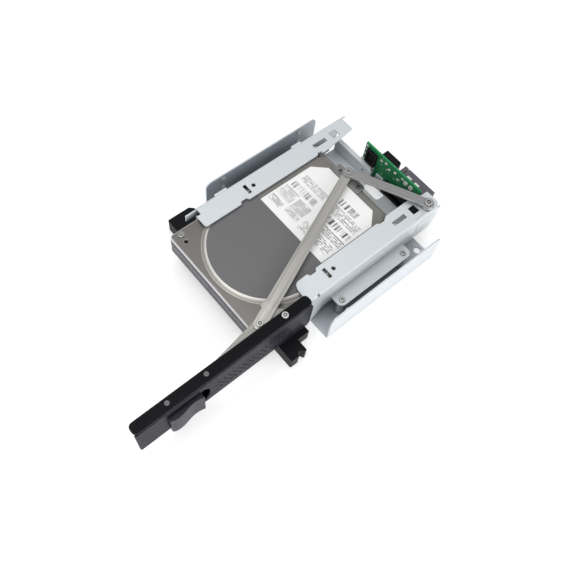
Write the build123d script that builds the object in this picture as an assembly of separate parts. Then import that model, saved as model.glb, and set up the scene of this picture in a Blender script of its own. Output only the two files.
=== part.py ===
"""Drive carrier: a folded sheet cradle on a base tray that holds a 3.5 inch drive,
with a swing handle at the front and a bar linkage that pushes the drive home.

Millimetres, +Z up, +Y to the rear. The functions below draw everything with the
drive's front face near y = 0 and its underside at z = 0; save() then moves each
shape so that the origin is the middle of the base tray's underside.
"""
import math
import os

from build123d import *

# drive, the known size that scales everything else
DRIVE_W, DRIVE_L, DRIVE_H = 101.6, 147.0, 26.1
DRIVE_FRONT = 0.5
DRIVE_REAR = DRIVE_FRONT + DRIVE_L
HALF_W = DRIVE_W / 2
PLUG_X0, PLUG_X1 = HALF_W - 42.4, HALF_W - 13.2

# folded sheet: the walls and flanges keep their distance from the drive
SHEET = 1.2
SIDE_ROOM = 6.2
LID_ROOM = 1.5
FLOOR_TOP = -0.4
WALL_X = HALF_W + SIDE_ROOM
FLANGE_Z = DRIVE_H + LID_ROOM
FLANGE_TOP = FLANGE_Z + SHEET
FLAP_TOP = 6.0
FLAP_X = WALL_X + 11.7
BEND = 1.8

LIP_Y = 172.9
LIP_TOP = 12.4

# base tray
TRAY_BOTTOM = -13.2
TRAY_X = WALL_X + 19.0
TRAY_Y0, TRAY_Y1 = 53.5, 171.5
TRAY_TOP = 17.5
TRAY_MID = (TRAY_Y0 + TRAY_Y1) / 2

# linkage pivots at rest
P1 = (WALL_X - 1.0, 23.2)
P2 = (WALL_X - 5.6, 174.4)
P3 = (WALL_X - 8.1, 6.7)
P4 = (-8.7, DRIVE_REAR - 3.4)

# linkage stack, with one clearance between moving faces
GAP = 0.3
PLATE_T = 1.5
LEVER_Z = FLANGE_TOP + GAP
LINK_Z = LEVER_Z + PLATE_T + GAP
ROCKER_Z = LINK_Z + PLATE_T + GAP
ROCKER_T = 1.6
HANDLE_Z = ROCKER_Z + ROCKER_T + 0.1
HANDLE_T = 1.6
HANDLE_TOP = HANDLE_Z + HANDLE_T
PIN_R = 2.0
RUN = 0.05

# handle: closed, it reaches past the far wall
HANDLE_X0, HANDLE_X1 = P1[0] - 4.0, P1[0] + 5.7
HANDLE_Y0, HANDLE_Y1 = P1[1] - (P1[0] + WALL_X + 14.9), P1[1] + 22.3
HANDLE_BOTTOM = 1.0
BEZEL_T = 1.8

# latch button
LATCH_Y0 = HANDLE_Y0 + 24.7
LATCH_Y1 = LATCH_Y0 + 26.0
LATCH_Z0, LATCH_Z1 = 4.0, FLANGE_Z - 1.6
LATCH_CLEAR = 0.4
RECESS_X = HANDLE_X0 + 3.0
RIVET_YS = (LATCH_Y1 + 9.0, LATCH_Y0 + 3.5)

# rear board
BOARD_Y = 178.5
BOARD_T = 1.6
BOARD_X0, BOARD_X1 = -22.5, PLUG_X1 + 1.9
BOARD_TOP = 32.0
TAB_X = PLUG_X0 - 8.4
BOARD_SCREW_XS = (-15.5, TAB_X)

STANDOFF_YS = (76.6, 143.0)
STANDOFF_X = WALL_X + 7.0
BLOCK_SCREW_X = WALL_X - 7.0
WING_RIVETS = [(71.0, 13.0), (71.0, 1.5), (152.0, 13.0), (152.0, 1.5)]


def save(shape, node):
    moved = Pos(0, -TRAY_MID, -TRAY_BOTTOM) * shape
    export_step(moved, f"parts/{node}.step")


def box(x0, x1, y0, y1, z0, z1):
    size = (abs(x1 - x0), abs(y1 - y0), abs(z1 - z0))
    return Pos((x0 + x1) / 2, (y0 + y1) / 2, (z0 + z1) / 2) * Box(*size)


def rod(x, y, z0, z1, r):
    return Pos(x, y, (z0 + z1) / 2) * Cylinder(r, z1 - z0)


def tube(x, y, z0, z1, r, bore):
    return rod(x, y, z0, z1, r) - rod(x, y, z0 - 1, z1 + 1, bore)


def side_rod(x0, x1, y, z, r):
    """Round bar along X."""
    return Pos((x0 + x1) / 2, y, z) * Rot(0, 90, 0) * Cylinder(r, abs(x1 - x0))


def back_rod(y0, y1, x, z, r):
    """Round bar along Y."""
    return Pos(x, (y0 + y1) / 2, z) * Rot(90, 0, 0) * Cylinder(r, abs(y1 - y0))


def plate(points, z0, z1, radius=0):
    """Flat outline in plan, from z0 to z1, with all its corners rounded."""
    face = make_face(Polyline(*points, close=True))
    if radius:
        face = fillet(face.vertices(), radius)
    return Pos(0, 0, z0) * extrude(face, z1 - z0, dir=(0, 0, 1))


def side_plate(points, x0, x1, radius=0):
    """Outline in Y and Z, from x0 to x1."""
    face = make_face(Polyline(*points, close=True))
    if radius:
        face = fillet(face.vertices(), radius)
    return Pos(x0, 0, 0) * (Plane.YZ * Rot(0, 0, 0) * extrude(face, x1 - x0, dir=(0, 0, 1)))


def bar(a, b, width, z0, z1):
    """Flat bar with round ends between two plan points."""
    length = math.dist(a, b)
    angle = math.degrees(math.atan2(b[1] - a[1], b[0] - a[0]))
    middle = ((a[0] + b[0]) / 2, (a[1] + b[1]) / 2)
    shape = extrude(SlotCenterToCenter(length, width), z1 - z0, dir=(0, 0, 1))
    return Pos(middle[0], middle[1], z0) * Rot(0, 0, angle) * shape


def screw(x, y, z_seat, z_end, head_r, head_h, shank_r, dirn=1):
    """Pan head with a cross recess, seated at z_seat."""
    z_top = z_seat + dirn * head_h
    head = rod(x, y, min(z_seat, z_top), max(z_seat, z_top), head_r)
    edge = head.edges().filter_by(GeomType.CIRCLE).sort_by(Axis.Z)[-1 if dirn > 0 else 0]
    head = fillet(edge, head_h * 0.5)
    low = z_top - dirn * head_h * 0.45
    cut = (min(low, z_top), max(low, z_top))
    arm = head_r * 0.55
    head -= box(x - arm, x + arm, y - 0.28, y + 0.28, *cut)
    head -= box(x - 0.28, x + 0.28, y - arm, y + arm, *cut)
    return head + rod(x, y, min(z_end, z_seat), max(z_end, z_seat), shank_r)


def pivot_head(x, y, z_seat, z_end, head_r, shank_r, head_h=1.2):
    """Headed pivot with a ring groove around its centre."""
    head = rod(x, y, z_seat, z_seat + head_h, head_r)
    head = fillet(head.edges().filter_by(GeomType.CIRCLE).sort_by(Axis.Z)[-1], head_h * 0.4)
    head -= tube(x, y, z_seat + head_h * 0.45, z_seat + head_h + 1, head_r * 0.55, head_r * 0.24)
    return head + rod(x, y, z_end, z_seat, shank_r)


def folded(points_outer, points_inner, y0, y1):
    """U shaped sheet along Y, with rounded bends."""
    face = make_face(Polyline(*(points_outer + points_inner), close=True))
    for points, radius in ((points_outer, BEND), (points_inner, BEND - SHEET)):
        bends = [v for v in face.vertices()
                 if any(math.dist((v.X, v.Y), point) < 0.01 for point in points[1:-1])]
        face = fillet(bends, radius)
    return Pos(0, y0, 0) * (Plane.XZ * extrude(face, -(y1 - y0)))


# cradle, one folded sheet

# flange outlines: distance in from the outside of the wall, and place along it
LEFT_FLANGE = [
    (-1, 31.5), (5.4, 26), (17, 26), (18.5, 27.5), (18.5, 60), (16.3, 61.5), (16.3, 66.5),
    (18.5, 68), (18.5, 139), (16.8, 140), (16.8, 143.5), (19.1, 144.5), (19.4, 147),
    (15.3, 180.8), (2.6, 180.8), (-1, 177.5)]
RIGHT_FLANGE = [
    (-1, 44.5), (7.2, 44.5), (7.6, 45.8), (13.5, 46.2), (16.8, 47.8), (18.2, 50), (18.5, 59.5),
    (16, 61.5), (16, 66.5), (18.5, 68.5), (18.5, 131.4), (16.8, 134), (16.8, 138), (19.4, 142.5),
    (19, 172), (16, 179.5), (15.6, 185.5), (4, 185.5), (-1, 181)]


def flange_outline(side, points):
    return plate([(side * (WALL_X - inset), y) for inset, y in points], FLANGE_Z - 1.1, FLANGE_TOP + 1.7)


def flange_cuts(side):
    """Holes that both flanges share."""
    x = side * (WALL_X - 10.2)
    cut = rod(x, 78.7, FLANGE_Z - 1, FLANGE_TOP + 1, 1.75)
    cut += box(x - 4.5, x + 4.5, 70.8, 73.8, FLANGE_Z - 1, FLANGE_TOP + 1)
    cut += box(x - 2, x + 2, 141.7, 155.2, FLANGE_Z - 1, FLANGE_TOP + 1)
    cut += box(x - 3.5, x + 3.5, 160.9, 167.8, FLANGE_Z - 1, FLANGE_TOP + 1)
    return cut


def flap(side):
    """Shelf bent out of the wall, screwed down on two standoffs."""
    shelf = plate([(side * x, y) for x, y in
                   [(WALL_X - 0.6, 71.5), (FLAP_X, 71.5), (FLAP_X, 149), (WALL_X - 0.6, 149)]],
                  FLAP_TOP - SHEET, FLAP_TOP)
    corners = shelf.edges().filter_by(Axis.Z).sort_by(Axis.X)
    shelf = fillet(corners[-2:] if side > 0 else corners[:2], 5)
    for y in STANDOFF_YS:
        shelf -= rod(side * STANDOFF_X, y, 0, 10, 1.6)
    return shelf


def cradle_frame():
    z0, z1 = FLOOR_TOP - SHEET, FLANGE_TOP
    over = FLANGE_TOP + 1.2
    lip_in = WALL_X - 20.0
    wall_in = WALL_X - SHEET
    far, near = WALL_X + 3.0, WALL_X - 7.0
    outer = [(-lip_in, z1), (-WALL_X, z1), (-WALL_X, z0), (WALL_X, z0), (WALL_X, z1), (lip_in, z1)]
    inner = [(lip_in, FLANGE_Z), (wall_in, FLANGE_Z), (wall_in, FLOOR_TOP),
             (-wall_in, FLOOR_TOP), (-wall_in, FLANGE_Z), (-lip_in, FLANGE_Z)]
    sheet = folded(outer, inner, 15.0, 186.0)
    # flange outlines
    roof = box(-far, far, 10, 190, FLANGE_Z - 0.7, over)
    sheet -= roof - (flange_outline(-1, LEFT_FLANGE) + flange_outline(1, RIGHT_FLANGE))
    # wall outlines: the front ends, then the rear ends
    sheet -= side_plate([(14, FLOOR_TOP), (30, FLOOR_TOP), (30, over), (14, over)], -far, -near)
    sheet -= side_plate([(14, FLOOR_TOP), (50.5, FLOOR_TOP), (44.5, over), (14, over)], near, far)
    sheet -= side_plate([(181, -3), (190, -3), (190, FLANGE_Z - 1.6), (178.4, FLANGE_Z - 1.6)], -far, -near)
    sheet -= side_plate([(181, -3), (190, -3), (190, 16), (186, 12)], near, far)
    # floor openings at the rear, either side of the tongues
    sheet -= box(-WALL_X + 3, -near, 160, 190, -3, 2)
    sheet -= plate([(-6, 165.5), (11, 165.5), (12.1, 168), (12.1, 174.5), (-6, 174.5)], -3, 2)
    sheet -= box(-near - 0.5, -23, 174.2, 190, -3, 2) + box(TAB_X - 8, TAB_X - 4, 174.2, 190, -3, 2)
    sheet -= box(TAB_X + 5, WALL_X - 3, 176.5, 190, -3, 2) + box(-24, TAB_X + 6, BOARD_Y, 190, -3, 2)
    # rear lip, board tabs, and the ears for the handle pivot and the latch
    sheet += box(-near, -6.5, LIP_Y, LIP_Y + SHEET, z0, LIP_TOP)
    sheet += box(-near, -9.0, LIP_Y, LIP_Y + 4.0, LIP_TOP - SHEET, LIP_TOP)
    board_front = BOARD_Y - SHEET
    sheet += box(-23, -8, board_front, BOARD_Y, z0, 13.6)
    sheet += box(TAB_X - 4, TAB_X + 4, board_front, BOARD_Y, z0, 10.0)
    for x in BOARD_SCREW_XS:
        sheet -= back_rod(170, 180, x, 6.5, 1.3)
    x, y = P1
    ear = plate([(x - 6.2, y - 3.5), (x + 3.6, y - 3.5), (x + 3.6, 44.5), (x, 46), (x - 6.2, 46)],
                FLANGE_Z, FLANGE_TOP)
    ear = fillet(ear.edges().filter_by(Axis.Z).sort_by(Axis.Y)[:2], 3.55)
    sheet += ear
    sheet += box(-WALL_X, -wall_in, 20.3, 30.5, LATCH_Z1 - 6.0, LATCH_Z1 + 0.5)
    for y in ((48.6, 60.0), (126.7, 136.4)):
        sheet += box(-WALL_X - 1.0, -wall_in, y[0], y[1], FLANGE_Z, FLANGE_TOP)
    # foot of the right wall, down to the base tray
    foot = side_plate([(50.5, 0), (50.5, -12), (54, -12), (63, -1.2), (63, 0)], wall_in, WALL_X)
    sheet += foot + flap(1) + flap(-1)
    for side in (1, -1):
        sheet -= flange_cuts(side)
        sheet -= box(side * (WALL_X - 2), side * far, 100, 140, 14.3, 14.9)
        for y in (28.0, 36.0):
            sheet -= rod(side * BLOCK_SCREW_X, y, -3, 1, 1.6)
    sheet -= box(WALL_X - 2.4, WALL_X - 1.6, 159, 178, FLANGE_Z - 1, FLANGE_TOP + 1)
    # slits around the springy rear part of the right wall, and a slot on its fold
    sheet -= box(WALL_X - 2, far, 161.5, 162.3, 11, 23) + box(WALL_X - 2, far, 161.5, 179, 22.4, 23.2)
    sheet -= box(WALL_X - 1.4, far, 54.8, 56.6, FLANGE_Z - 2.6, over)
    for x, y in (P1, P2):
        sheet -= rod(x, y, FLANGE_Z - 2.6, over, PIN_R)
    return sheet


def base_tray():
    x_in = TRAY_X - SHEET
    top = TRAY_BOTTOM + SHEET
    outer = [(-TRAY_X, TRAY_TOP), (-TRAY_X, TRAY_BOTTOM), (TRAY_X, TRAY_BOTTOM), (TRAY_X, TRAY_TOP)]
    inner = [(x_in, TRAY_TOP), (x_in, top), (-x_in, top), (-x_in, TRAY_TOP)]
    tray = folded(outer, inner, TRAY_Y0, TRAY_Y1)
    corners = [e for e in tray.edges().filter_by(Axis.X) if abs(e.center().Z - TRAY_TOP) < 0.01
               and e.length < 2]
    tray = fillet(corners, 5.5)
    for side in (1, -1):
        tray -= rod(side * (STANDOFF_X + 0.6), 165.5, TRAY_BOTTOM - 1, top + 1, 3.0)
        for y in STANDOFF_YS:
            tray -= rod(side * STANDOFF_X, y, TRAY_BOTTOM - 1, top + 1, 2.0)
        for y, z in WING_RIVETS:
            tray -= side_rod(side * (TRAY_X - 3), side * (TRAY_X + 2), y, z, 1.2)
    return tray


def tray_standoffs():
    posts = []
    for side in (1, -1):
        for y in STANDOFF_YS:
            x = side * STANDOFF_X
            post = rod(x, y, TRAY_BOTTOM + SHEET, FLAP_TOP - SHEET, 3.2)
            post += rod(x, y, TRAY_BOTTOM, TRAY_BOTTOM + SHEET, 2.0)
            posts.append(post - rod(x, y, -2, 10, 1.4))
    return Compound(children=posts)


def flap_screws():
    return Compound(children=[
        screw(side * STANDOFF_X, y, FLAP_TOP, -1.5, 2.4, 1.3, 1.35)
        for side in (1, -1) for y in STANDOFF_YS])


def wing_rivets():
    rivets = []
    for side in (1, -1):
        for y, z in WING_RIVETS:
            rivet = side_rod(side * (TRAY_X - SHEET - 1.2), side * (TRAY_X - SHEET), y, z, 2.2)
            rivets.append(rivet + side_rod(side * (TRAY_X - SHEET), side * TRAY_X, y, z, 1.2))
    return Compound(children=rivets)


def guide_block(side):
    """Plastic runner in front of the tray wing, screwed up into the cradle floor."""
    top = -0.2
    a, b, c = WALL_X - 13.0, WALL_X + 9.2, TRAY_X + 0.7
    if side > 0:
        outline = [(a, 16), (c, 16), (c, 23), (c - 2.7, 24.5), (c - 2.7, 27.5), (c, 29),
                   (c, 31), (b, 31), (b, 42), (a, 42)]
    else:
        outline = [(-a, 16), (-c, 16), (-c, 36.5), (3.2 - c, 40), (-WALL_X - 2, 40), (-WALL_X, 42), (-a, 42)]
    block = plate(outline, TRAY_BOTTOM, top)
    edges = [e for e in block.edges().filter_by(Axis.Z)
             if abs(e.center().X) > c - 2.9 and (e.center().Y < 20 or abs(e.center().Y - 31) < 0.1)]
    block = fillet(edges, 1.2)
    # the cradle floor and wall rest on a step
    block -= box(side * (a - 4), side * (WALL_X + GAP), 14, 44, FLOOR_TOP - SHEET, 1)
    block -= box(side * (WALL_X + 5), side * (c - 4.7), 18.5, 28.5, TRAY_BOTTOM - 1, -4)
    for y in (28.0, 36.0):
        block -= rod(side * BLOCK_SCREW_X, y, TRAY_BOTTOM - 1, 0, 1.6)
        block -= rod(side * BLOCK_SCREW_X, y, TRAY_BOTTOM - 1, TRAY_BOTTOM + 2.2, 3.2)
    return block


def block_screws():
    return Compound(children=[
        screw(side * BLOCK_SCREW_X, y, TRAY_BOTTOM + 2.2, FLOOR_TOP - 0.1, 2.9, 1.8, 1.6, -1)
        for side in (1, -1) for y in (28.0, 36.0)])


def guide_rail(side):
    """Plastic strip on the cradle floor that keeps the drive straight."""
    x_in = HALF_W + GAP
    rail = box(side * x_in, side * (WALL_X - SHEET), 56, 168, FLOOR_TOP, 6.0)
    edge = rail.edges().filter_by(Axis.Y).sort_by(Axis.Z)[-2:]
    edge = edge.sort_by(Axis.X)[0 if side > 0 else -1]
    rail = chamfer(edge, 1.2)
    # clear of the fold at the foot of the wall
    return rail - box(side * (WALL_X - 2.2), side * (WALL_X - 1.0), 50, 172, FLOOR_TOP - 0.1, FLOOR_TOP + 0.8)


# rear board and its connectors

def rear_board():
    board = box(BOARD_X0, BOARD_X1, BOARD_Y, BOARD_Y + BOARD_T, -1.0, BOARD_TOP)
    for x in BOARD_SCREW_XS:
        board -= back_rod(BOARD_Y - 1, BOARD_Y + 4, x, 6.5, 1.3)
    return board


def flange_pad():
    """Thin rubber pad stuck under the square hole of the right flange."""
    return box(WALL_X - 15.4, WALL_X - 5.4, 159.4, 169.2, FLANGE_Z - 1.0, FLANGE_Z)


def board_screws():
    parts = []
    for x in BOARD_SCREW_XS:
        y = BOARD_Y - SHEET
        parts.append(back_rod(y - 1.3, y, x, 6.5, 2.4) + back_rod(y, BOARD_Y + BOARD_T + 0.6, x, 6.5, 1.3))
    return Compound(children=parts)


def board_socket():
    """Dark shrouded header on the front of the board."""
    body = box(-19.0, -8.0, 176.0, BOARD_Y, 14.2, 28.5)
    return body - box(-17.6, -9.4, 175, 177.6, 15.6, 27.1)


def board_parts():
    """Small soldered parts on the front of the board."""
    y = BOARD_Y
    parts = [box(-21.5, -19.8, y - 0.7, y, z, z + 2.0) for z in (19.0, 24.0, 28.6)]
    for x in (24.5, 30.2):
        parts.append(back_rod(y - 1.0, y, x, 27.0, 2.1))
    for x, z in ((-4.5, 26.5), (0.5, 28.0), (5.0, 24.5), (11.0, 26.5), (15.5, 22.5), (19.5, 27.5)):
        parts.append(box(x, x + 2.2, y - 0.8, y, z, z + 1.3))
    return Compound(children=parts)


def drive_receptacle():
    """Open socket that takes the drive's plug at the end of the travel."""
    body = box(PLUG_X0 - 1.4, PLUG_X1 + 0.9, 174.4, BOARD_Y, 0.2, 12.5)
    return body - box(PLUG_X0 + 0.2, PLUG_X1 - 0.7, 170, 178.0, 2.2, 8.8)


def rear_connector_black():
    y0 = BOARD_Y + BOARD_T
    body = box(-8.0, 8.5, y0, 189.0, 12.0, 28.5)
    body = fillet(body.edges().filter_by(Axis.Y), 1.5)
    body -= box(-6.3, 6.8, 183.0, 190, 13.8, 26.7)
    for x in (-3.5, 0.25, 4.0):
        body += box(x - 1.1, x + 1.1, 183.0, 187.8, 17.5, 23.0)
    return body


def rear_connector_grey():
    y0 = BOARD_Y + BOARD_T
    body = box(12.5, 45.5, y0, 191.0, 8.0, 27.0)
    body -= box(15.9, 16.7, 182, 192, 7, 28)
    body -= box(18.2, 44.0, 184.0, 192, 10.0, 25.0)
    body -= box(13.6, 15.2, 184.0, 192, 10.0, 25.0)
    return body + box(19.5, 42.7, 184.0, 189.5, 15.5, 19.5)


def connector_tabs():
    """Pale strips on the grey connector."""
    return Compound(children=[box(x, x + 4.6, 183.0, 185.2, 27.0, 27.5) for x in (20.5, 29.0)])


# linkage

def rocker_post():
    return tube(P2[0], P2[1], FLANGE_TOP, ROCKER_Z - GAP, 4.0, PIN_R)


def rocker_screw():
    seat = ROCKER_Z + ROCKER_T + GAP
    body = pivot_head(P2[0], P2[1], seat, FLANGE_Z - 0.3, 3.1, PIN_R)
    return body + rod(P2[0], P2[1], FLANGE_Z - 1.2, FLANGE_Z, 3.4)


def rocker_arm():
    arm = bar(P2, P4, 7.6, ROCKER_Z, ROCKER_Z + ROCKER_T)
    arm += rod(P2[0], P2[1], ROCKER_Z, ROCKER_Z + ROCKER_T, 4.7)
    arm += rod(P4[0], P4[1], ROCKER_Z, ROCKER_Z + ROCKER_T, 4.3)
    arm -= rod(P2[0], P2[1], ROCKER_Z - 1, ROCKER_Z + 3, PIN_R + RUN)
    return arm - rod(P4[0], P4[1], ROCKER_Z - 1, ROCKER_Z + 3, 1.5)


TOW_SLOT_HALF = 1.5 + 0.55


def joint_pin():
    """Carries the link under the rocker and reaches down into the tow slot."""
    top = ROCKER_Z + ROCKER_T
    body = pivot_head(P4[0], P4[1], top, DRIVE_H + 0.5, 2.5, 1.5, 1.0)
    return body + rod(P4[0], P4[1], DRIVE_H + 2.0, LINK_Z - GAP, 3.2)


def link_bar():
    length = math.dist(P3, P4)
    angle = math.degrees(math.atan2(P4[1] - P3[1], P4[0] - P3[0]))
    top = LINK_Z + PLATE_T
    outline = [(0, -4.9), (26, -4.9), (length - 6, -3.9), (length, -3.9), (length, 3.9),
               (length - 6, 3.9), (26, 4.9), (0, 4.9)]
    body = plate(outline, LINK_Z, top)
    body += rod(0, 0, LINK_Z, top, 4.9) + rod(length, 0, LINK_Z, top, 3.9)
    # raised rib that runs from near the front joint to the rear one
    rib = bar((16, 0), (length - 14, 0), 4.2, top - 0.3, top + 0.25)
    body += chamfer(rib.faces().sort_by(Axis.Z)[-1].edges(), 0.2)
    for side in (1, -1):
        body -= box(18, length - 14, side * 3.0, side * 3.4, top - 0.25, top + 1)
    body += box(12, 17, 4.5, 6.2, LINK_Z, top)
    body = Pos(P3[0], P3[1], 0) * Rot(0, 0, angle) * body
    body -= rod(P4[0], P4[1], LINK_Z - 1, top + 1, 1.5 + RUN)
    return body - rod(P3[0], P3[1], LINK_Z - 1, top + 1, 1.6)


def link_screw():
    return pivot_head(P3[0], P3[1], LINK_Z + PLATE_T, LINK_Z, 2.7, 1.6, 1.3)


# handle

def handle_plate():
    body = plate([(HANDLE_X0, HANDLE_Y0), (HANDLE_X1 - 0.5, HANDLE_Y0),
                  (HANDLE_X1 - 0.5, HANDLE_Y1), (HANDLE_X0, HANDLE_Y1)], HANDLE_Z, HANDLE_TOP)
    body = fillet(body.edges().filter_by(Axis.Z), 3.6)
    body -= rod(P1[0], P1[1], HANDLE_Z - 1, HANDLE_TOP + 1, PIN_R + RUN)
    for y in RIVET_YS:
        body -= rod(P1[0], y, HANDLE_Z - 1, HANDLE_TOP + 1, 1.5)
    return chamfer(body.faces().sort_by(Axis.Z)[-1].edges(), 0.3)


def vents():
    """Diamond holes in staggered rows through the outer wall."""
    cut = []
    for column in range(16):
        for row in range(4):
            y = LATCH_Y1 + 13.5 + column * 4.1 + (row % 2) * 2.05
            z = 9.4 + row * 3.9
            cut.append(Pos(HANDLE_X1 + 2, y, z) * Rot(45, 0, 0) * Box(8, 2.35, 2.35))
    return cut


def handle_bezel():
    x_in = HANDLE_X1 - BEZEL_T
    body = box(x_in, HANDLE_X1, HANDLE_Y0, HANDLE_Y1, HANDLE_BOTTOM, HANDLE_Z)
    edges = [e for e in body.edges().filter_by(Axis.X) if e.center().Y > 0]
    body = fillet(edges, 4.0)
    # far end wall with a dark recess above it, and the ledge under the top plate
    end = box(HANDLE_X0 + 0.8, HANDLE_X1, HANDLE_Y0 + 3.4, HANDLE_Y0 + 5.2, HANDLE_BOTTOM, HANDLE_Z)
    body += end
    # plate behind the latch opening, with a floor
    recess_end = LATCH_Y1 + 10.5
    body += box(RECESS_X, RECESS_X + 1.0, LATCH_Y0 + 3, recess_end, HANDLE_BOTTOM, LEVER_Z - 0.1)
    body += box(RECESS_X, x_in + 0.2, recess_end - 1.0, recess_end, HANDLE_BOTTOM, LEVER_Z - 0.1)
    body += box(RECESS_X, x_in + 0.2, LATCH_Y0 + 3, recess_end, HANDLE_BOTTOM, HANDLE_BOTTOM + 0.7)
    ledge = LEVER_Z + PLATE_T + 1.0
    body += box(HANDLE_X0 + 1.0, HANDLE_X1, HANDLE_Y0 + 3.4, LATCH_Y1 + 5.0, ledge, HANDLE_Z)
    body = fillet(body.edges().filter_by(Axis.Z).group_by(Axis.Y)[0].sort_by(Axis.X)[-1], 1.4)
    for y in RIVET_YS:
        body -= rod(P1[0], y, LEVER_Z - 4.1, HANDLE_TOP + 1, 3.3)
    # opening for the latch button and the finger
    y0, y1, top = LATCH_Y0 - 0.6, LATCH_Y1 + 7.5, LATCH_Z1 + 2.5
    window = side_plate([(y0, LATCH_Z0 + 1), (y1 - 3.5, LATCH_Z0 + 1), (y1, 12), (y1, top - 6.5),
                         (y1 - 4.5, top), (y0, top)], HANDLE_X1 - 3.7, HANDLE_X1 + 2.3, 1.5)
    body -= window
    for hole in vents():
        body -= hole
    # long groove below the top edge
    return body - box(HANDLE_X1 - 0.35, HANDLE_X1 + 1, HANDLE_Y0 + 2, HANDLE_Y1 - 4, HANDLE_Z - 2.0, HANDLE_Z - 1.5)


def lever_plate():
    """Bright plate under the top plate: it reaches in to the front joint."""
    z1 = LEVER_Z + PLATE_T
    end = RIVET_YS[0] - 5.0
    outline = [(-3.4, end), (3.4, end), (3.4, 25.0), (1.5, 27.5), (-5.5, 27.6), (-7.2, 27.0),
               (-10.3, 23.6), (-9.4, 21.0), (-7.6, 18.5), (-8.8, 13.0), (-11.7, 9.0), (-12.0, 4.5),
               (-10.6, -2.0), (-5.2, end + 15.5), (-4.0, end + 8.0)]
    body = plate([(P1[0] + x, y) for x, y in outline], LEVER_Z, z1, 0.8)
    body -= rod(P1[0], P1[1], LEVER_Z - 1, z1 + 1, PIN_R + RUN)
    body -= rod(P3[0], P3[1], LEVER_Z - 1, z1 + 1, 2.1)
    return body - rod(P1[0], RIVET_YS[0], LEVER_Z - 1, z1 + 1, 1.5)


def handle_spacers():
    z0 = LEVER_Z + PLATE_T
    a = tube(P1[0], P1[1], z0, HANDLE_Z, 3.4, PIN_R + RUN)
    b = tube(P1[0], RIVET_YS[0], z0, HANDLE_Z, 3.2, 1.5)
    c = tube(P1[0], RIVET_YS[1], LEVER_Z, HANDLE_Z, 3.2, 1.5)
    return Compound(children=[a, b, c])


def handle_rivets():
    rivets = []
    for y in RIVET_YS:
        rivet = rod(P1[0], y, LEVER_Z - 0.1, HANDLE_TOP, 1.5)
        rivets.append(rivet + pivot_head(P1[0], y, HANDLE_TOP, HANDLE_TOP - 0.5, 1.75, 1.5, 0.5))
    return Compound(children=rivets)


def handle_pivot_screw():
    """Fixed in the flange's ear: the handle turns around it."""
    seat = HANDLE_TOP + GAP
    body = pivot_head(P1[0], P1[1], seat, FLANGE_Z - 0.3, 2.6, PIN_R)
    return body + rod(P1[0], P1[1], FLANGE_Z - 1.2, FLANGE_Z, 3.3)


def latch_button():
    """Thumb button outside the wall, held by a plate inside it, with a short nose."""
    x0 = HANDLE_X1 + LATCH_CLEAR
    wave = Spline((x0 + 3.9, LATCH_Y0 + 1), (x0 + 4.2, LATCH_Y0 + 8), (x0 + 2.6, LATCH_Y0 + 17),
                  (x0 + 3.0, LATCH_Y1 - 3), (x0 + 3.8, LATCH_Y1))
    rest = Polyline((x0 + 3.8, LATCH_Y1), (x0, LATCH_Y1), (x0, LATCH_Y0 - 1), (x0 + 3.0, LATCH_Y0 - 1),
                    (x0 + 3.9, LATCH_Y0 + 1))
    pad = Pos(0, 0, LATCH_Z0 - 1.5) * extrude(make_face([wave, rest]), LATCH_Z1 - LATCH_Z0 + 3, dir=(0, 0, 1))
    stem = box(HANDLE_X1 - 3.7, x0 + 0.5, LATCH_Y0 + 2.5, LATCH_Y1 - 4, LATCH_Z0 + 3, LATCH_Z1 - 1.5)
    inside = HANDLE_X1 - BEZEL_T - LATCH_CLEAR
    keep = box(inside - 1.6, inside, LATCH_Y0 - 4, LATCH_Y1 - 3, LATCH_Z0 - 2, LATCH_Z1 + 3)
    nose = box(RECESS_X + 0.4, inside, LATCH_Y0 - 6.6, LATCH_Y0 - 3.6, LATCH_Z1 - 5.5, LATCH_Z1 - 0.5)
    return pad + stem + keep + nose


# drive

def rounded_block(x, y0, y1, z0, z1, r):
    body = box(-x, x, y0, y1, z0, z1)
    return fillet(body.edges().filter_by(Axis.Z), r)


COVER_Z = DRIVE_H - 2.7
LID_LOW = DRIVE_H - 1.5
RING = (0.0, DRIVE_FRONT + HALF_W + 3.1)
LABEL = [(x, DRIVE_REAR - back) for x, back in
         ((-34.6, 71.6), (36.9, 71.6), (36.9, 19.5), (27, 8.5), (-24.6, 8.5), (-34.6, 19.5))]
LABEL_T = 0.4
COVER_SCREWS = [(side * (HALF_W - 4.5), y) for y in (DRIVE_FRONT + 8, DRIVE_REAR - 19.5) for side in (-1, 1)]
LID_HOLES = [(11.3 - HALF_W, DRIVE_FRONT + 7.8, 1.7), (HALF_W - 11.2, DRIVE_REAR - 5.9, 1.8),
             (11.2 - HALF_W, DRIVE_REAR - 5.9, 1.8)]


def drive_base():
    body = rounded_block(HALF_W, DRIVE_FRONT, DRIVE_REAR, 0, COVER_Z, 3.0)
    body -= box(3 - HALF_W, HALF_W - 3, DRIVE_FRONT + 4, DRIVE_REAR - 4, -1, 3.2)
    # sloping foot and a waist line along the front
    foot = side_plate([(DRIVE_FRONT - 1, -1), (DRIVE_FRONT + 4.2, -1), (DRIVE_FRONT - 1, 8.5)], -60, 60)
    body -= foot
    body -= box(-60, 60, DRIVE_FRONT - 1, DRIVE_FRONT + 0.5, 14.5, 15.3)
    for x in (-34.0, -8.0, 24.0):
        body -= box(x, x + 10, DRIVE_FRONT - 1, DRIVE_FRONT + 0.9, 9.5, 12.0)
    for side in (1, -1):
        for y in (29.0, 70.6, 130.6):
            body -= side_rod(side * (HALF_W - 5.8), side * (HALF_W + 4.2), y, 6.4, 1.6)
    body -= box(PLUG_X0 - 0.4, PLUG_X1 + 0.4, DRIVE_REAR - 3, DRIVE_REAR + 1, 1.0, 11.5)
    for x, y, r in LID_HOLES:
        body -= rod(x, y, COVER_Z - 6, COVER_Z + 1, r)
    return body


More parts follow.
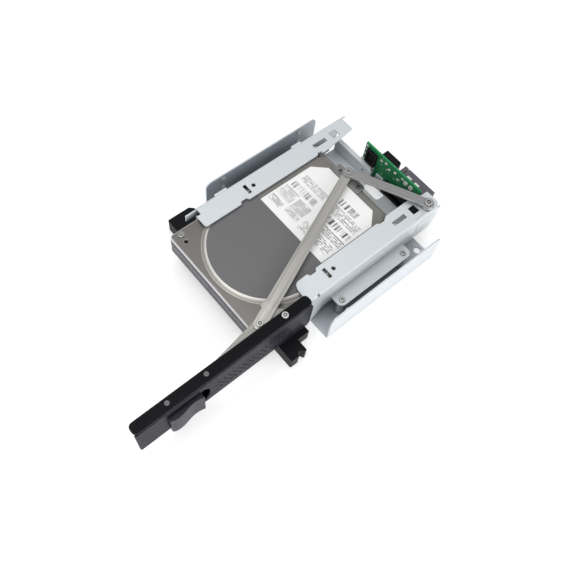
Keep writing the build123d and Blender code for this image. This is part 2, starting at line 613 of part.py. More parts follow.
def lid_zone(reach, rear, z):
    """Outline of the lid's platform: half round in front, straight sides, cut rear corners."""
    x, y = RING
    sides = Polyline((x + reach, y), (x + reach, rear - 18), (x + reach - 12.5, rear),
                     (x - reach + 12.5, rear), (x - reach, rear - 18), (x - reach, y))
    front = ThreePointArc((x - reach, y), (x, y - reach), (x + reach, y))
    return Pos(0, 0, z) * make_face([sides, front])


def drive_cover():
    """Pressed cover: a platform over the platters with a sloping edge all round it."""
    a, b = HALF_W - 0.9, HALF_W - 12.8
    y0, y1, y2 = DRIVE_FRONT + 1.0, DRIVE_REAR - 11.5, DRIVE_REAR - 0.9
    outline = [(-a, y0), (a, y0), (a, y1), (b, y2), (-b, y2), (-a, y1)]
    cover = plate(outline, COVER_Z, LID_LOW, 2.0)
    foot = lid_zone(HALF_W - 1.1, DRIVE_REAR - 1.7, LID_LOW - 0.2)
    cover += loft([foot, lid_zone(HALF_W - 4.4, DRIVE_REAR - 3.9, DRIVE_H)], ruled=True)
    seat = LID_LOW - 0.6
    for a, b in COVER_SCREWS:
        cover -= rod(a, b, seat, DRIVE_H + 1, 3.0)
        cover -= rod(a, b, COVER_Z - 1, DRIVE_H + 1, 1.3)
    for x, y, r in LID_HOLES:
        cover -= rod(x, y, COVER_Z - 1, DRIVE_H + 1, r)
    return cover - plate(LABEL, DRIVE_H - LABEL_T, DRIVE_H + 1, 0.6)


def cover_screws():
    return Compound(children=[
        pivot_head(x, y, LID_LOW - 0.6, COVER_Z + 0.1, 2.2, 1.3, 1.0)
        for x, y in COVER_SCREWS])


def drive_label():
    return plate(LABEL, DRIVE_H - LABEL_T, DRIVE_H, 0.6)


def drive_circuit_board():
    x = HALF_W - 4
    board = box(-x, x, 30, DRIVE_REAR - 5, 1.6, 3.2)
    return board + box(-20, 8, 60, 84, 0.8, 1.6) + box(14, 30, 96, 108, 0.6, 1.6)


def drive_plug():
    """Plug at the drive's rear, with its tongue standing out."""
    body = box(PLUG_X0, PLUG_X1, DRIVE_REAR - 3, DRIVE_REAR, 1.2, 11.3)
    return body + box(PLUG_X0 + 1.6, PLUG_X1 - 2.0, DRIVE_REAR, DRIVE_REAR + 3.8, 3.6, 7.4)


TOW_SCREW = (P4[0] + 12.9, P4[1] + 0.3)


def tow_bracket():
    """Plate on the drive with a cross slot for the joint pin."""
    z0, z1 = DRIVE_H, DRIVE_H + 1.5
    x0, x1, y0, y1 = P4[0] - 13.3, P4[0] + 16.9, P4[1] - 4.5, P4[1] + 4.5
    body = plate([(x0, y0), (x1, y0), (x1, y1), (x0, y1)], z0, z1, 2.0)
    slot = bar((P4[0], P4[1]), (P4[0] - 7.1, P4[1]), 2 * TOW_SLOT_HALF, z0 - 1, z1 + 1)
    body -= slot
    return body - rod(*TOW_SCREW, z0 - 1, z1 + 1, 1.2)


def tow_screw():
    top = DRIVE_H + 1.5
    return pivot_head(*TOW_SCREW, top, DRIVE_H, 2.1, 1.2, 0.8)


def main():
    os.makedirs("parts", exist_ok=True)
    save(cradle_frame(), "cradle_frame")
    save(base_tray(), "base_tray")
    save(tray_standoffs(), "tray_standoffs")
    save(flap_screws(), "flap_screws")
    save(wing_rivets(), "wing_rivets")
    save(guide_block(1), "guide_block_right")
    save(guide_block(-1), "guide_block_left")
    save(block_screws(), "block_screws")
    save(guide_rail(1), "guide_rail_right")
    save(guide_rail(-1), "guide_rail_left")
    save(rear_board(), "rear_board")
    save(flange_pad(), "flange_pad")
    save(board_screws(), "board_screws")
    save(board_socket(), "board_socket")
    save(board_parts(), "board_parts")
    save(drive_receptacle(), "drive_receptacle")
    save(rear_connector_black(), "rear_connector_black")
    save(rear_connector_grey(), "rear_connector_grey")
    save(connector_tabs(), "connector_tabs")
    save(rocker_post(), "rocker_post")
    save(rocker_screw(), "rocker_screw")
    save(rocker_arm(), "rocker_arm")
    save(joint_pin(), "joint_pin")
    save(link_bar(), "link_bar")
    save(link_screw(), "link_screw")
    save(handle_plate(), "handle_plate")
    save(handle_bezel(), "handle_bezel")
    save(lever_plate(), "lever_plate")
    save(handle_spacers(), "handle_spacers")
    save(handle_rivets(), "handle_rivets")
    save(handle_pivot_screw(), "handle_pivot_screw")
    save(latch_button(), "latch_button")
    save(drive_base(), "drive_base")
    save(drive_cover(), "drive_cover")
    save(cover_screws(), "cover_screws")
    save(drive_label(), "drive_label")
    save(drive_circuit_board(), "drive_circuit_board")
    save(drive_plug(), "drive_plug")
    save(tow_bracket(), "tow_bracket")
    save(tow_screw(), "tow_screw")


main()
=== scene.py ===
import math

import bpy
from mathutils import Matrix, Vector

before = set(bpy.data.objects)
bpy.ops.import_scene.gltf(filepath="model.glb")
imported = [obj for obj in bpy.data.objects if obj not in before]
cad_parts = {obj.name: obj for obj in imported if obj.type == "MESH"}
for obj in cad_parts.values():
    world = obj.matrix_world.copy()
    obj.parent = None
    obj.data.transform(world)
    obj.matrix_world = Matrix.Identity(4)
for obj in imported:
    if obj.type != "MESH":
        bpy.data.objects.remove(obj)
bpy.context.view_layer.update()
bpy.ops.object.select_all(action="DESELECT")


# Folded sheet: the cradle and the tray under it are cut and bent from coated steel
# about 1.2 mm thick. The coat is pale grey with a slight blue cast and a soft sheen, thinner
# and brighter along the cut edges, partly wear and partly a painted highlight, and darkened
# by painted shade deep between the sheets.
# Edge, cloud and grain marks for every finish. The edge mask lightens the colour along edges: partly wear,
# partly a painted highlight.
def add_edge_wear_and_highlight_group():
    group = bpy.data.node_groups.new("edge_wear_and_highlight", "ShaderNodeTree")
    ports = group.interface
    for name, start in (("Radius", 0.0003), ("Grain Scale", 900.0), ("Grain Depth", 0.1),
                        ("Cloud Scale", 60.0)):
        ports.new_socket(name, in_out="INPUT", socket_type="NodeSocketFloat").default_value = start
    ports.new_socket("Normal", in_out="OUTPUT", socket_type="NodeSocketVector")
    ports.new_socket("Edge", in_out="OUTPUT", socket_type="NodeSocketFloat")
    ports.new_socket("Cloud", in_out="OUTPUT", socket_type="NodeSocketFloat")
    ports.new_socket("Grain", in_out="OUTPUT", socket_type="NodeSocketFloat")
    n, l = group.nodes, group.links
    given, out = n.new("NodeGroupInput"), n.new("NodeGroupOutput")
    where, geo = n.new("ShaderNodeTexCoord"), n.new("ShaderNodeNewGeometry")
    bevel = n.new("ShaderNodeBevel")
    bevel.samples = 6
    l.new(given.outputs["Radius"], bevel.inputs["Radius"])
    dot = n.new("ShaderNodeVectorMath")
    dot.operation = "DOT_PRODUCT"
    l.new(bevel.outputs[0], dot.inputs[0])
    l.new(geo.outputs["True Normal"], dot.inputs[1])
    edge = n.new("ShaderNodeMapRange")
    edge.inputs["From Min"].default_value = 0.995
    edge.inputs["From Max"].default_value = 0.80
    l.new(dot.outputs["Value"], edge.inputs["Value"])
    grain, cloud = n.new("ShaderNodeTexNoise"), n.new("ShaderNodeTexNoise")
    grain.inputs["Detail"].default_value = 3.0
    cloud.inputs["Detail"].default_value = 4.0
    for tex, scale in ((grain, "Grain Scale"), (cloud, "Cloud Scale")):
        l.new(where.outputs["Object"], tex.inputs["Vector"])
        l.new(given.outputs[scale], tex.inputs["Scale"])
    bump = n.new("ShaderNodeBump")
    bump.inputs["Distance"].default_value = 0.0002
    l.new(given.outputs["Grain Depth"], bump.inputs["Strength"])
    l.new(grain.outputs[0], bump.inputs["Height"])
    l.new(bevel.outputs[0], bump.inputs["Normal"])
    l.new(bump.outputs[0], out.inputs["Normal"])
    l.new(edge.outputs[0], out.inputs["Edge"])
    l.new(cloud.outputs[0], out.inputs["Cloud"])
    l.new(grain.outputs[0], out.inputs["Grain"])
    return group


edge_wear_and_highlight = add_edge_wear_and_highlight_group()


def coated_finish(name, base, shade, edge, rough, metallic, grain=(900.0, 0.1), edge_amount=0.6,
                  radius=0.0003, sheen=0.5):
    """A finish whose colour clouds from base to shade, with another colour on the edges, partly wear and
    partly a painted highlight.
    """
    mat = bpy.data.materials.new(name)
    mat.use_nodes = True
    n, l = mat.node_tree.nodes, mat.node_tree.links
    skin = n["Principled BSDF"]
    wear_and_highlight = n.new("ShaderNodeGroup")
    wear_and_highlight.node_tree = edge_wear_and_highlight
    wear_and_highlight.name = "wear_and_highlight"
    wear_and_highlight.inputs["Grain Scale"].default_value = grain[0]
    wear_and_highlight.inputs["Grain Depth"].default_value = grain[1]
    wear_and_highlight.inputs["Radius"].default_value = radius
    body = n.new("ShaderNodeMix")
    body.data_type = "RGBA"
    body.name = "body"
    body.inputs["A"].default_value = (*base, 1)
    body.inputs["B"].default_value = (*shade, 1)
    l.new(wear_and_highlight.outputs["Cloud"], body.inputs["Factor"])
    # The edge colour is partly wear and partly a painted highlight.
    amount = n.new("ShaderNodeMath")
    amount.operation = "MULTIPLY"
    amount.inputs[1].default_value = edge_amount
    l.new(wear_and_highlight.outputs["Edge"], amount.inputs[0])
    rim = n.new("ShaderNodeMix")
    rim.data_type = "RGBA"
    rim.name = "rim"
    rim.inputs["B"].default_value = (*edge, 1)
    l.new(amount.outputs[0], rim.inputs["Factor"])
    l.new(body.outputs["Result"], rim.inputs["A"])
    l.new(rim.outputs["Result"], skin.inputs["Base Color"])
    dull = n.new("ShaderNodeMapRange")
    dull.inputs["To Min"].default_value = rough - 0.06
    dull.inputs["To Max"].default_value = rough + 0.08
    l.new(wear_and_highlight.outputs["Cloud"], dull.inputs["Value"])
    l.new(dull.outputs[0], skin.inputs["Roughness"])
    l.new(wear_and_highlight.outputs["Normal"], skin.inputs["Normal"])
    skin.inputs["Metallic"].default_value = metallic
    skin.inputs["Specular IOR Level"].default_value = sheen
    return mat


def dress(material, *nodes):
    for node in nodes:
        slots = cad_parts[node].material_slots
        for s in slots:
            s.material = material
        if not slots:
            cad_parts[node].data.materials.append(material)


def painted_recess_shade(mat, shade_colour, distance, low, high):
    """Paints shade into the hollows: darkens the colour where ambient occlusion finds them."""
    n, l = mat.node_tree.nodes, mat.node_tree.links
    open_sky, curve = n.new("ShaderNodeAmbientOcclusion"), n.new("ShaderNodeMapRange")
    mix = n.new("ShaderNodeMix")
    open_sky.samples = 8
    open_sky.inputs["Distance"].default_value = distance
    curve.inputs["From Min"].default_value = low
    curve.inputs["From Max"].default_value = high
    l.new(open_sky.outputs["AO"], curve.inputs["Value"])
    mix.data_type = "RGBA"
    # The colour of the painted shade in the hollows.
    mix.inputs["A"].default_value = (*shade_colour, 1)
    l.new(curve.outputs[0], mix.inputs["Factor"])
    l.new(n["rim"].outputs["Result"], mix.inputs["B"])
    l.new(mix.outputs["Result"], n["Principled BSDF"].inputs["Base Color"])


sheet_coat = coated_finish("sheet_coat", base=(0.72, 0.76, 0.785), shade=(0.68, 0.72, 0.75),
                           edge=(0.85, 0.87, 0.88), rough=0.38, metallic=0.25,
                           grain=(1400.0, 0.06), edge_amount=0.5)
# Painted shade: darkens the coat in the hollows between the sheets.
painted_recess_shade(sheet_coat, (0.42, 0.45, 0.48), 0.012, 0.10, 0.72)
dress(sheet_coat, "cradle_frame")
tray_coat = coated_finish("tray_coat", base=(0.70, 0.74, 0.775), shade=(0.66, 0.70, 0.74),
                          edge=(0.82, 0.84, 0.85), rough=0.38, metallic=0.25,
                          grain=(1400.0, 0.06), edge_amount=0.5)
# Painted shade: darkens the tray deep under and between the sheets.
painted_recess_shade(tray_coat, (0.22, 0.27, 0.32), 0.028, 0.10, 0.60)
dress(tray_coat, "base_tray")


# Fastenings: standoffs, rivets and pan head screws of bright plated steel. They are
# turned or headed parts, so they are smooth, with painted shade in the recesses and a painted
# highlight on their edges. The rivets of the wings are as pale as the sheet; those of the
# handle and the tow screw are dark.
plated_steel = coated_finish("plated_steel", base=(0.58, 0.58, 0.57), shade=(0.48, 0.48, 0.47),
                             edge=(0.78, 0.78, 0.77), rough=0.30, metallic=0.75,
                             grain=(2200.0, 0.05), edge_amount=0.5, radius=0.0002)
# Painted shade: darkens the recesses of the heads.
painted_recess_shade(plated_steel, (0.02, 0.02, 0.025), 0.0022, 0.40, 0.88)
dress(plated_steel, "tray_standoffs", "flap_screws", "block_screws", "board_screws", "rocker_post",
      "rocker_screw", "joint_pin", "link_screw", "handle_spacers", "handle_pivot_screw", "cover_screws")
flush_rivet = coated_finish("flush_rivet", base=(0.66, 0.68, 0.70), shade=(0.58, 0.60, 0.62),
                            edge=(0.85, 0.86, 0.87), rough=0.34, metallic=0.5,
                            grain=(2200.0, 0.05), edge_amount=0.6, radius=0.0002)
dress(flush_rivet, "wing_rivets")
dark_rivet = coated_finish("dark_rivet", base=(0.16, 0.16, 0.165), shade=(0.12, 0.12, 0.125),
                           edge=(0.30, 0.30, 0.31), rough=0.32, metallic=0.6,
                           grain=(2200.0, 0.05), edge_amount=0.7, radius=0.0002)
# Painted shade: darkens the recesses of the dark heads.
painted_recess_shade(dark_rivet, (0.01, 0.01, 0.012), 0.0022, 0.40, 0.88)
dress(dark_rivet, "handle_rivets", "tow_screw")


# Plastic runners: the two moulded blocks in front of the tray and the strips inside the
# cradle are black, with a fine spark-eroded texture; their edges are a little grey, partly
# scuffed and partly a painted highlight.
# The black connectors and the pad on the flange are of the same plastic.
black_moulding = coated_finish("black_moulding", base=(0.007, 0.007, 0.009), shade=(0.012, 0.012, 0.014),
                               edge=(0.05, 0.05, 0.056), rough=0.42, metallic=0.0,
                               grain=(1100.0, 0.22), edge_amount=0.8, sheen=0.08)
dress(black_moulding, "guide_block_left", "guide_block_right", "guide_rail_left", "guide_rail_right",
      "rear_connector_black", "drive_receptacle", "drive_plug", "board_socket", "flange_pad")


# Handle: a long moulded front with a steel strip on top. The strip is painted satin black
# and the moulding is a charcoal plastic; a painted highlight lightens the edges of the strip,
# the moulding and the latch.
handle_paint = coated_finish("handle_paint", base=(0.003, 0.003, 0.004), shade=(0.006, 0.006, 0.008),
                             edge=(0.24, 0.24, 0.25), rough=0.42, metallic=0.0,
                             grain=(1600.0, 0.10), edge_amount=0.9, radius=0.0006, sheen=0.08)
dress(handle_paint, "handle_plate")
charcoal_plastic = coated_finish("charcoal_plastic", base=(0.013, 0.0125, 0.019), shade=(0.020, 0.019, 0.028),
                                 edge=(0.19, 0.185, 0.215), rough=0.36, metallic=0.0,
                                 grain=(1300.0, 0.18), edge_amount=0.9, radius=0.0006, sheen=0.05)
dress(charcoal_plastic, "handle_bezel")
latch_plastic = coated_finish("latch_plastic", base=(0.017, 0.016, 0.025), shade=(0.026, 0.025, 0.036),
                              edge=(0.16, 0.157, 0.18), rough=0.33, metallic=0.0,
                              grain=(1300.0, 0.16), edge_amount=0.8, radius=0.0007, sheen=0.12)
dress(latch_plastic, "latch_button")


# Linkage bars: the long link, the rocker and the lever under the handle are stamped from
# sheet steel. The link and lever are nickel plated and warm in tone, the rocker is greyer.
# The places of the joints, in millimetres, give the way that the streaks run.
def brushed_bar(name, base, shade, rough, angle):
    """Streaks run along the bar at the angle, and its cut edges carry a painted highlight."""
    mat = coated_finish(name, base, shade, tuple(min(1.0, c * 1.7) for c in base), rough, 0.65,
                        grain=(1500.0, 0.08), edge_amount=0.8, radius=0.0006)
    n, l = mat.node_tree.nodes, mat.node_tree.links
    where, turn, streak = n.new("ShaderNodeTexCoord"), n.new("ShaderNodeMapping"), n.new("ShaderNodeTexNoise")
    turn.vector_type = "TEXTURE"
    turn.inputs["Rotation"].default_value = (0, 0, angle)
    turn.inputs["Scale"].default_value = (0.09, 0.0018, 0.05)
    l.new(where.outputs["Object"], turn.inputs["Vector"])
    l.new(turn.outputs[0], streak.inputs["Vector"])
    streak.inputs["Scale"].default_value = 1.0
    streak.inputs["Detail"].default_value = 4.0
    tone = n.new("ShaderNodeMapRange")
    tone.inputs["To Min"].default_value = 0.42
    tone.inputs["To Max"].default_value = 1.40
    l.new(streak.outputs[0], tone.inputs["Value"])
    streaked = n.new("ShaderNodeVectorMath")
    streaked.operation = "SCALE"
    l.new(n["rim"].outputs["Result"], streaked.inputs[0])
    l.new(tone.outputs[0], streaked.inputs["Scale"])
    l.new(streaked.outputs[0], n["Principled BSDF"].inputs["Base Color"])
    return mat


rear_joint = Vector((-8.7, 144.1))
lever_joint = Vector((48.9, 6.7))
rocker_joint = Vector((51.4, 174.4))


def direction(start, end):
    run = end - start
    return math.atan2(run.y, run.x)


link_angle = direction(lever_joint, rear_joint)
rocker_angle = direction(rocker_joint, rear_joint)
lever_angle = math.radians(80)
for name, node, base, shade, rough, angle in (
        ("link_steel", "link_bar", (0.53, 0.52, 0.49), (0.46, 0.45, 0.425), 0.36, link_angle),
        ("lever_steel", "lever_plate", (0.34, 0.335, 0.315), (0.30, 0.295, 0.275), 0.34, lever_angle),
        ("rocker_steel", "rocker_arm", (0.42, 0.42, 0.425), (0.36, 0.36, 0.365), 0.42, rocker_angle),
        ("tow_steel", "tow_bracket", (0.30, 0.30, 0.298), (0.25, 0.25, 0.248), 0.42, 0.0)):
    dress(brushed_bar(name, base, shade, rough, angle), node)


# Drive body: a die casting with a dull dark grey skin, with a bright painted highlight along its upper rim
# and on its edges.
# Its measures are in millimetres from the drive's own origin, which lies here in the part.
DRIVE_FRAME_Y = -112.5
DRIVE_FRAME_Z = 13.2
casting_skin = coated_finish("casting_skin", base=(0.060, 0.056, 0.078), shade=(0.046, 0.043, 0.060),
                             edge=(0.85, 0.85, 0.87), rough=0.36, metallic=0.15,
                             grain=(1200.0, 0.20), edge_amount=1.0, radius=0.0007, sheen=0.25)


def painted_rim_highlight(mat, height, colour):
    """Above the height the casting's colour is a bright painted highlight along its upper rim."""
    n, l = mat.node_tree.nodes, mat.node_tree.links
    where, split, above, rim = (n.new("ShaderNodeTexCoord"), n.new("ShaderNodeSeparateXYZ"),
                                n.new("ShaderNodeMath"), n.new("ShaderNodeMix"))
    l.new(where.outputs["Object"], split.inputs[0])
    above.operation = "GREATER_THAN"
    above.inputs[1].default_value = height
    l.new(split.outputs["Z"], above.inputs[0])
    rim.data_type = "RGBA"
    rim.inputs["B"].default_value = (*colour, 1)
    l.new(above.outputs[0], rim.inputs["Factor"])
    l.new(n["rim"].outputs["Result"], rim.inputs["A"])
    l.new(rim.outputs["Result"], n["Principled BSDF"].inputs["Base Color"])


# The band above this height is a painted highlight along the casting's upper rim.
painted_rim_highlight(casting_skin, (DRIVE_FRAME_Z + 22.9) / 1000, (0.86, 0.86, 0.88))
dress(casting_skin, "drive_base")


# Drive lid: a steel pressing. The top of its platform is painted a plain dark grey, the
# sloping edge around it carries a painted highlight, brightest next to the platform and paler
# further out, and the rest is a warm grey metal with a fine sandy grain; its edges carry a
# painted highlight too.
lid_steel = coated_finish("lid_steel", base=(0.215, 0.205, 0.193), shade=(0.165, 0.157, 0.148),
                          edge=(0.88, 0.87, 0.86), rough=0.36, metallic=0.65,
                          grain=(1800.0, 0.16), edge_amount=1.0, radius=0.0006)
# The outer two zones are a painted highlight on the platform's sloping edge; the inner one is the dark grey
# paint of its top.
lid_paint_and_highlight_zones = ((0.0498, (0.40, 0.385, 0.355)), (0.0477, (0.72, 0.70, 0.66)), (0.0458, (0.145, 0.145, 0.15)))


def zone_lid(mat):
    """Colours by the distance from the lid's middle line: round before it, straight beside it.
    Each of the lid's zones reaches so many metres out, the widest first."""
    n, l = mat.node_tree.nodes, mat.node_tree.links
    skin = n["Principled BSDF"]
    where, split, back = n.new("ShaderNodeTexCoord"), n.new("ShaderNodeSeparateXYZ"), n.new("ShaderNodeMath")
    l.new(where.outputs["Object"], split.inputs[0])
    centre = (54.4 + DRIVE_FRAME_Y) / 1000
    back.operation = "MINIMUM"
    back.inputs[1].default_value = centre
    l.new(split.outputs["Y"], back.inputs[0])
    ahead, join, reach = n.new("ShaderNodeMath"), n.new("ShaderNodeCombineXYZ"), n.new("ShaderNodeVectorMath")
    ahead.operation = "SUBTRACT"
    ahead.inputs[1].default_value = centre
    l.new(back.outputs[0], ahead.inputs[0])
    l.new(split.outputs["X"], join.inputs["X"])
    l.new(ahead.outputs[0], join.inputs["Y"])
    reach.operation = "LENGTH"
    l.new(join.outputs[0], reach.inputs[0])
    previous = n["rim"].outputs["Result"]
    for limit, colour in lid_paint_and_highlight_zones:
        inside = n.new("ShaderNodeMath")
        inside.operation = "LESS_THAN"
        inside.inputs[1].default_value = limit
        l.new(reach.outputs["Value"], inside.inputs[0])
        zone = n.new("ShaderNodeMix")
        zone.data_type = "RGBA"
        zone.inputs["B"].default_value = (*colour, 1)
        l.new(inside.outputs[0], zone.inputs["Factor"])
        l.new(previous, zone.inputs["A"])
        previous = zone.outputs["Result"]
    rear, plain = n.new("ShaderNodeMath"), n.new("ShaderNodeMix")
    rear.operation = "GREATER_THAN"
    rear.inputs[1].default_value = (76.5 + DRIVE_FRAME_Y) / 1000
    l.new(split.outputs["Y"], rear.inputs[0])
    plain.data_type = "RGBA"
    l.new(rear.outputs[0], plain.inputs["Factor"])
    l.new(previous, plain.inputs["A"])
    l.new(n["rim"].outputs["Result"], plain.inputs["B"])
    l.new(plain.outputs["Result"], skin.inputs["Base Color"])
    shine = n.new("ShaderNodeMapRange")
    shine.inputs["To Min"].default_value = 0.0
    shine.inputs["To Max"].default_value = 0.65
    shine.inputs["From Min"].default_value = 0.0456
    shine.inputs["From Max"].default_value = 0.0461
    l.new(reach.outputs["Value"], shine.inputs["Value"])
    l.new(shine.outputs[0], skin.inputs["Metallic"])


zone_lid(lid_steel)
dress(lid_steel, "drive_cover")


# Drive label: white paper in a shallow pocket of the lid, printed with rows of plain grey
# dashes and bars that stand for small print. The tabs on the grey connector are white too.
def printed_label():
    mat = coated_finish("label_paper", base=(0.95, 0.95, 0.95), shade=(0.93, 0.93, 0.93),
                        edge=(0.97, 0.97, 0.97), rough=0.5, metallic=0.0,
                        grain=(900.0, 0.02), edge_amount=0.2)
    n, l = mat.node_tree.nodes, mat.node_tree.links
    where, ink = n.new("ShaderNodeTexCoord"), n["rim"].outputs["Result"]
    split = n.new("ShaderNodeSeparateXYZ")
    l.new(where.outputs["Object"], split.inputs[0])

    def within(axis, low, high):
        above, below, both = (n.new("ShaderNodeMath") for _ in range(3))
        above.operation, below.operation, both.operation = "GREATER_THAN", "LESS_THAN", "MULTIPLY"
        for test, value in ((above, low), (below, high)):
            l.new(split.outputs[axis], test.inputs[0])
            test.inputs[1].default_value = value
        l.new(above.outputs[0], both.inputs[0])
        l.new(below.outputs[0], both.inputs[1])
        return both.outputs[0]

    def times(a, b):
        both = n.new("ShaderNodeMath")
        both.operation = "MULTIPLY"
        l.new(a, both.inputs[0])
        l.new(b, both.inputs[1])
        return both.outputs[0]

    def print_zone(x, y, step, tone, stretch, fill):
        """Short dashes in rows, or bars where stretch is long across the rows."""
        nonlocal ink
        turn, noise, cut = n.new("ShaderNodeMapping"), n.new("ShaderNodeTexNoise"), n.new("ShaderNodeMath")
        turn.vector_type = "TEXTURE"
        turn.inputs["Scale"].default_value = (step * stretch[0], step * stretch[1], 1.0)
        l.new(where.outputs["Object"], turn.inputs["Vector"])
        l.new(turn.outputs[0], noise.inputs["Vector"])
        noise.inputs["Scale"].default_value = 1.0
        noise.inputs["Detail"].default_value = 1.0
        cut.operation = "GREATER_THAN"
        cut.inputs[1].default_value = fill
        l.new(noise.outputs[0], cut.inputs[0])
        mask = times(cut.outputs[0], times(within("X", x[0] / 1000, x[1] / 1000),
                                           within("Y", (y[0] + DRIVE_FRAME_Y) / 1000,
                                                  (y[1] + DRIVE_FRAME_Y) / 1000)))
        if stretch[1] <= 1:
            wave, row = n.new("ShaderNodeMath"), n.new("ShaderNodeMath")
            wave.operation, row.operation = "PINGPONG", "LESS_THAN"
            wave.inputs[1].default_value = 0.0009
            row.inputs[1].default_value = 0.0005
            l.new(split.outputs["Y"], wave.inputs[0])
            l.new(wave.outputs[0], row.inputs[0])
            mask = times(mask, row.outputs[0])
        mixed = n.new("ShaderNodeMix")
        mixed.data_type = "RGBA"
        mixed.inputs["B"].default_value = (tone, tone, tone * 1.02, 1)
        l.new(mask, mixed.inputs["Factor"])
        l.new(ink, mixed.inputs["A"])
        ink = mixed.outputs["Result"]

    for x, y, step, tone, stretch, fill in (
            ((2, 35), (82, 92), 0.0014, 0.30, (1.4, 1.0), 0.47),
            ((6, 36), (93, 101), 0.0015, 0.22, (1.5, 1.0), 0.45),
            ((8, 35), (103, 109), 0.0007, 0.12, (1.0, 40.0), 0.50),
            ((0, 34), (111, 120), 0.0014, 0.28, (1.6, 1.0), 0.46),
            ((4, 24), (122, 128), 0.0007, 0.16, (1.0, 40.0), 0.50),
            ((-31, -4), (104, 110), 0.0007, 0.16, (1.0, 40.0), 0.52),
            ((-33, -20), (82, 88), 0.0015, 0.20, (2.0, 1.0), 0.44),
            ((-16, -2), (84, 101), 0.0015, 0.28, (2.0, 1.0), 0.44),
            ((-33, -18), (91, 102), 0.0014, 0.30, (1.8, 1.0), 0.46),
            ((-30, -4), (113, 121), 0.0015, 0.30, (1.4, 1.0), 0.47)):
        print_zone(x, y, step, tone, stretch, fill)
    l.new(ink, n["Principled BSDF"].inputs["Base Color"])
    return mat


dress(printed_label(), "drive_label")
tab_white = coated_finish("tab_white", base=(0.80, 0.80, 0.80), shade=(0.74, 0.74, 0.74),
                          edge=(0.85, 0.85, 0.85), rough=0.5, metallic=0.0)
dress(tab_white, "connector_tabs")


# Circuit boards: green solder mask over copper, with paler tracks under it and round
# tinned pads. The parts on the rear board are tinned as well.
def board_mask():
    mat = coated_finish("board_mask", base=(0.012, 0.16, 0.055), shade=(0.018, 0.21, 0.075),
                        edge=(0.06, 0.32, 0.14), rough=0.30, metallic=0.0,
                        grain=(700.0, 0.04), edge_amount=0.6, sheen=0.15)
    n, l = mat.node_tree.nodes, mat.node_tree.links
    where, turn = n.new("ShaderNodeTexCoord"), n.new("ShaderNodeMapping")
    cells, tracks = n.new("ShaderNodeTexVoronoi"), n.new("ShaderNodeTexBrick")
    turn.inputs["Rotation"].default_value = (math.radians(90), 0, 0)
    l.new(where.outputs["Object"], turn.inputs["Vector"])
    tracks.inputs["Scale"].default_value = 160.0
    tracks.inputs["Mortar Size"].default_value = 0.03
    tracks.inputs["Color1"].default_value = (0, 0, 0, 1)
    tracks.inputs["Color2"].default_value = (0, 0, 0, 1)
    tracks.inputs["Mortar"].default_value = (1, 1, 1, 1)
    l.new(turn.outputs[0], tracks.inputs["Vector"])
    line = n.new("ShaderNodeMix")
    line.data_type = "RGBA"
    line.inputs["B"].default_value = (0.03, 0.27, 0.10, 1)
    l.new(tracks.outputs["Color"], line.inputs["Factor"])
    l.new(n["rim"].outputs["Result"], line.inputs["A"])
    cells.inputs["Scale"].default_value = 330.0
    l.new(where.outputs["Object"], cells.inputs["Vector"])
    pad, few, both = n.new("ShaderNodeMath"), n.new("ShaderNodeMath"), n.new("ShaderNodeMath")
    pad.operation = few.operation = "LESS_THAN"
    both.operation = "MULTIPLY"
    pad.inputs[1].default_value = 0.26
    few.inputs[1].default_value = 0.24
    l.new(cells.outputs["Distance"], pad.inputs[0])
    pick = n.new("ShaderNodeSeparateColor")
    l.new(cells.outputs["Color"], pick.inputs[0])
    l.new(pick.outputs[0], few.inputs[0])
    l.new(pad.outputs[0], both.inputs[0])
    l.new(few.outputs[0], both.inputs[1])
    tin = n.new("ShaderNodeMix")
    tin.data_type = "RGBA"
    tin.inputs["B"].default_value = (0.62, 0.66, 0.60, 1)
    l.new(both.outputs[0], tin.inputs["Factor"])
    l.new(line.outputs["Result"], tin.inputs["A"])
    l.new(tin.outputs["Result"], n["Principled BSDF"].inputs["Base Color"])
    return mat


dress(board_mask(), "rear_board", "drive_circuit_board")
tinned = coated_finish("tinned", base=(0.78, 0.79, 0.76), shade=(0.66, 0.68, 0.64),
                       edge=(0.85, 0.85, 0.84), rough=0.35, metallic=0.3)
dress(tinned, "board_parts")


# Grey connector shell behind the board: moulded in a mid grey, dull plastic.
grey_moulding = coated_finish("grey_moulding", base=(0.135, 0.128, 0.142), shade=(0.11, 0.105, 0.118),
                              edge=(0.36, 0.35, 0.36), rough=0.48, metallic=0.0,
                              grain=(1000.0, 0.15), edge_amount=0.6, sheen=0.2)
dress(grey_moulding, "rear_connector_grey")


# Stage: a white floor that keeps the soft shadow, and a white surround. The camera and
# glossy reflections see the floor lifted to white; it lights the part as it is.
bpy.ops.mesh.primitive_plane_add(size=6.0, location=(0, 0, -0.0001))
floor = bpy.context.object
floor.name = "floor"
floor_white = bpy.data.materials.new("floor_white")
floor_white.use_nodes = True
fn, fl = floor_white.node_tree.nodes, floor_white.node_tree.links
fn["Principled BSDF"].inputs["Base Color"].default_value = (0.80, 0.80, 0.80, 1)
fn["Principled BSDF"].inputs["Roughness"].default_value = 0.9
seen, lift, glow = fn.new("ShaderNodeLightPath"), fn.new("ShaderNodeMath"), fn.new("ShaderNodeEmission")
either = fn.new("ShaderNodeMath")
either.operation = "MAXIMUM"
fl.new(seen.outputs["Is Camera Ray"], either.inputs[0])
fl.new(seen.outputs["Is Glossy Ray"], either.inputs[1])
lift.operation = "MULTIPLY"
lift.inputs[1].default_value = 0.42
fl.new(either.outputs[0], lift.inputs[0])
fl.new(lift.outputs[0], glow.inputs["Strength"])
both_floor = fn.new("ShaderNodeAddShader")
fl.new(fn["Principled BSDF"].outputs[0], both_floor.inputs[0])
fl.new(glow.outputs[0], both_floor.inputs[1])
fl.new(both_floor.outputs[0], fn["Material Output"].inputs["Surface"])
floor.data.materials.append(floor_white)

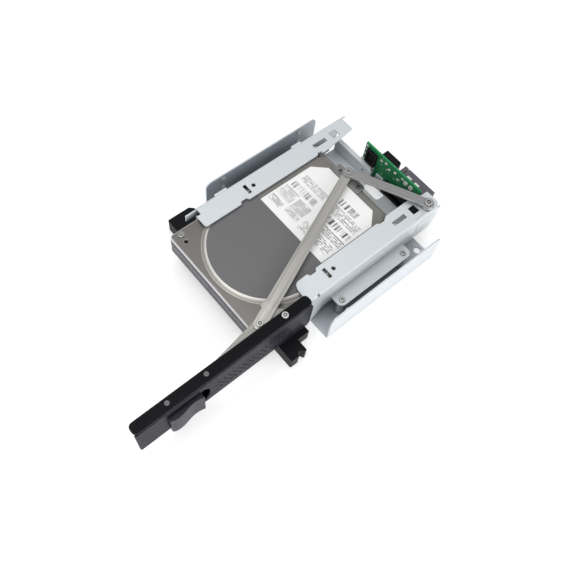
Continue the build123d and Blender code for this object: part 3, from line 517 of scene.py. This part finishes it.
world = bpy.data.worlds.new("surround")
bpy.context.scene.world = world
world.use_nodes = True
sky = world.node_tree.nodes["Background"]
sky.inputs["Color"].default_value = (1.0, 1.0, 1.0, 1)
wn, wl = world.node_tree.nodes, world.node_tree.links
sky_seen, sky_level = wn.new("ShaderNodeLightPath"), wn.new("ShaderNodeMapRange")
sky_level.inputs["To Min"].default_value = 0.52
sky_level.inputs["To Max"].default_value = 1.0
wl.new(sky_seen.outputs["Is Camera Ray"], sky_level.inputs["Value"])
wl.new(sky_level.outputs[0], sky.inputs["Strength"])


def soft_lamp(name, place, size, power):
    lamp = bpy.data.lights.new(name, "AREA")
    lamp.shape = "SQUARE"
    lamp.size = size
    lamp.energy = power
    thing = bpy.data.objects.new(name, lamp)
    bpy.context.scene.collection.objects.link(thing)
    thing.location = place
    thing.rotation_euler = (Vector((0, 0, 0.02)) - Vector(place)).to_track_quat("-Z", "Y").to_euler()


soft_lamp("key", (-0.20, -0.25, 1.35), 1.1, 8.0)
soft_lamp("side", (1.3, -0.40, 0.35), 0.8, 11.0)


# Camera: fitted to the photograph from the drive's known size.
azimuth, elevation, roll = math.radians(40.70), math.radians(62.52), math.radians(10.12)
ahead = Vector((-math.sin(azimuth) * math.cos(elevation), math.cos(azimuth) * math.cos(elevation),
                -math.sin(elevation)))
right = Vector((math.cos(azimuth), math.sin(azimuth), 0))
up = right.cross(ahead)
right_r = right * math.cos(roll) + up * math.sin(roll)
up_r = up * math.cos(roll) - right * math.sin(roll)
eye = bpy.data.cameras.new("eye")
eye.lens = 41.23
eye.sensor_width = 36.0
camera = bpy.data.objects.new("camera", eye)
bpy.context.scene.collection.objects.link(camera)
turn = Matrix((right_r, up_r, -ahead)).transposed()
camera.matrix_world = Matrix.Translation((0.17746, -0.23638, 0.46103)) @ turn.to_4x4()
bpy.context.scene.camera = camera

render = bpy.context.scene
render.render.engine = "CYCLES"
render.render.resolution_x = 1140
render.render.resolution_y = 1140
render.view_settings.view_transform = "Standard"
render.cycles.samples = 96
render.cycles.use_denoising = True
